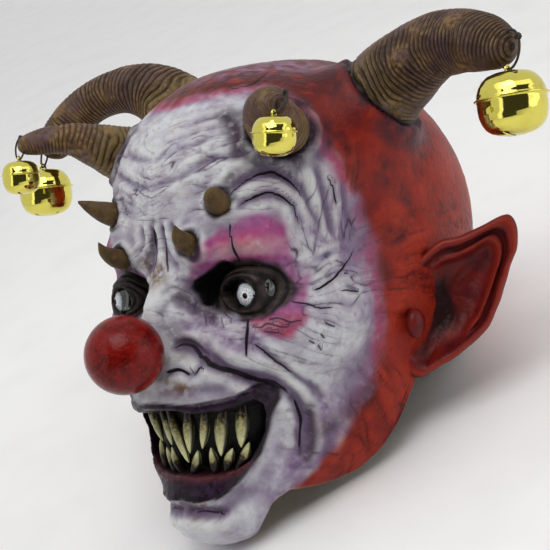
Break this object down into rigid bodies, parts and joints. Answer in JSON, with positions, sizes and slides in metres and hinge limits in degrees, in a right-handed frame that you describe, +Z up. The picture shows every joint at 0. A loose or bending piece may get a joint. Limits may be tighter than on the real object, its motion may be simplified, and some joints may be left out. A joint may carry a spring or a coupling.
{
  "type": "clown mask",
  "caption": "Whole-head latex clown mask with ringed horns, brow thorns, pointed ears, a ball nose, bared teeth and jingle bells tied to the horn tips.",
  "frame": {"origin": "on the table, under the middle of the box of the whole part as it lies", "axes": "+X towards the wearer's left along the span of the rear horns and bells, -Y out of the face, +Z up from the table"},
  "size_m": [0.4104, 0.317, 0.2422],
  "materials": {
    "latex_skin": "painted latex, satin, off-white with mauve, red and black washes",
    "bell_brass": "polished yellow metal",
    "tie_thread": "black waxed thread"
  },
  "bodies": {
    "root": {"mask": "latex_skin", "bell_rear_left": "bell_brass", "bell_rear_right": "bell_brass", "bell_front_left": "bell_brass", "bell_front_right": "bell_brass", "tie_rear_left": "tie_thread", "tie_rear_right": "tie_thread", "tie_front_left": "tie_thread", "tie_front_right": "tie_thread"}
  },
  "joints": []
}
